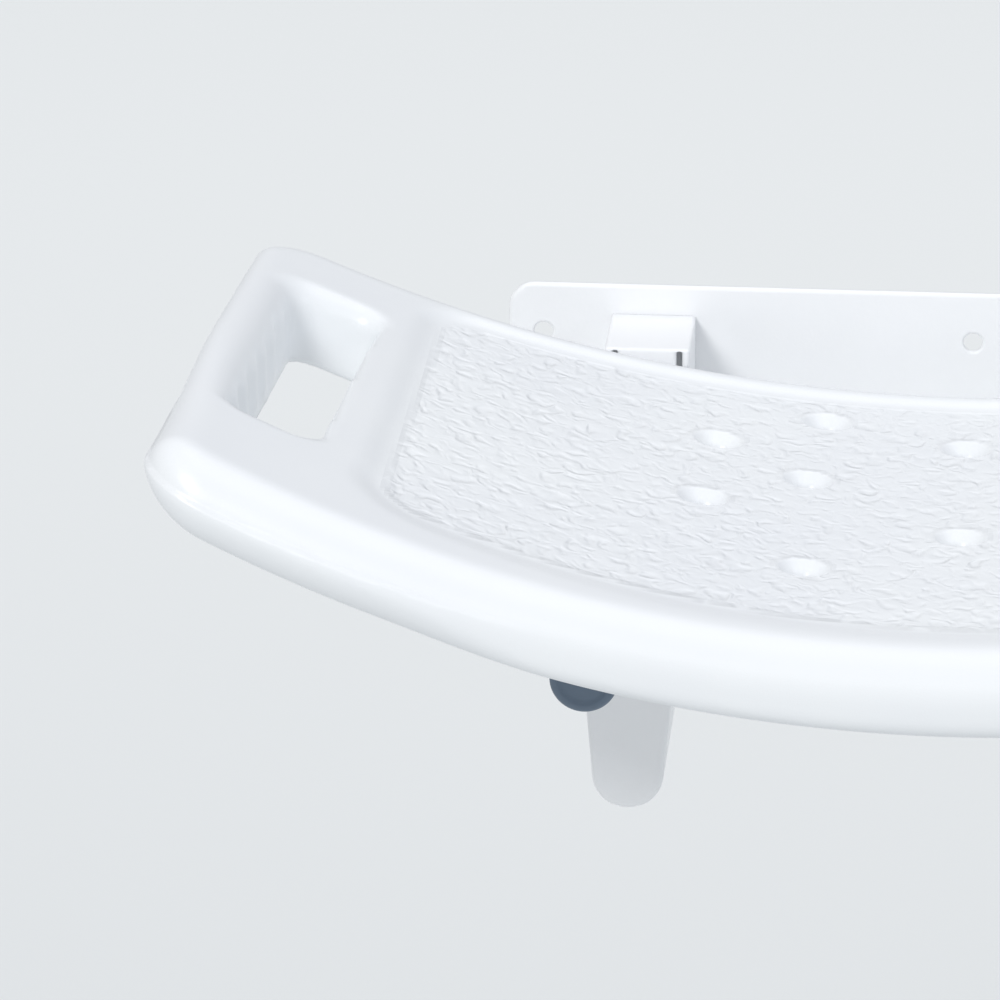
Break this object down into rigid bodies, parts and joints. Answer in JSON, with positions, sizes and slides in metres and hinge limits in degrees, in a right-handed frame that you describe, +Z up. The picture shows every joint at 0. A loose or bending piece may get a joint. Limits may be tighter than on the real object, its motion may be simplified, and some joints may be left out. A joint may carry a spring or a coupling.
{
  "type": "wall-mounted folding shower seat",
  "caption": "White saddle-shaped shower seat with hand slots and drains, folding up against a screwed wall plate on tubular arms.",
  "frame": {"origin": "centre of the wall plate's back face, which lies on the wall", "axes": "+X along the wall to the right, +Y into the wall, +Z up; the lowered seat reaches out along -Y"},
  "size_m": [0.5088, 0.313, 0.182],
  "materials": {
    "white_board": "satin moulded, textured sitting panel",
    "white_powder_coat": "satin powder coat",
    "grey_plug": "satin moulded",
    "grey_rubber": "matt",
    "nylon": "satin",
    "white_spacer": "satin",
    "bright_steel": "brushed stainless",
    "brass": "machined"
  },
  "bodies": {
    "wall_frame": {"wall_plate": "white_powder_coat", "bracket_left": "white_powder_coat", "bracket_right": "white_powder_coat", "hinge_pin_left": "bright_steel", "hinge_pin_right": "bright_steel", "hinge_washers": "bright_steel", "hinge_clips": "bright_steel", "stop_pin_left": "bright_steel", "stop_pin_right": "bright_steel", "stop_sleeve_left": "grey_rubber", "stop_sleeve_right": "grey_rubber", "stop_nuts": "bright_steel", "rest_pad_left": "grey_rubber", "rest_pad_right": "grey_rubber"},
    "folding_seat": {"seat_board": "white_board", "arm_tube_left": "white_powder_coat", "arm_tube_right": "white_powder_coat", "front_plug_left": "grey_plug", "front_plug_right": "grey_plug", "tail_plug_left": "grey_plug", "tail_plug_right": "grey_plug", "hinge_sleeve_left": "bright_steel", "hinge_sleeve_right": "bright_steel", "hinge_bush_left": "nylon", "hinge_bush_right": "nylon", "saddle_left_rear": "white_spacer", "saddle_left_front": "white_spacer", "saddle_right_rear": "white_spacer", "saddle_right_front": "white_spacer", "tie_bar": "white_powder_coat", "arm_screws": "bright_steel", "screw_washers": "bright_steel", "board_inserts": "brass"}
  },
  "joints": [
    {"name": "seat_fold", "type": "hinge", "parent": "wall_frame", "child": "folding_seat", "pos_m": [0, -0.097, 0.018], "axis": [-1, 0, 0], "range_deg": [0, 90]}
  ]
}
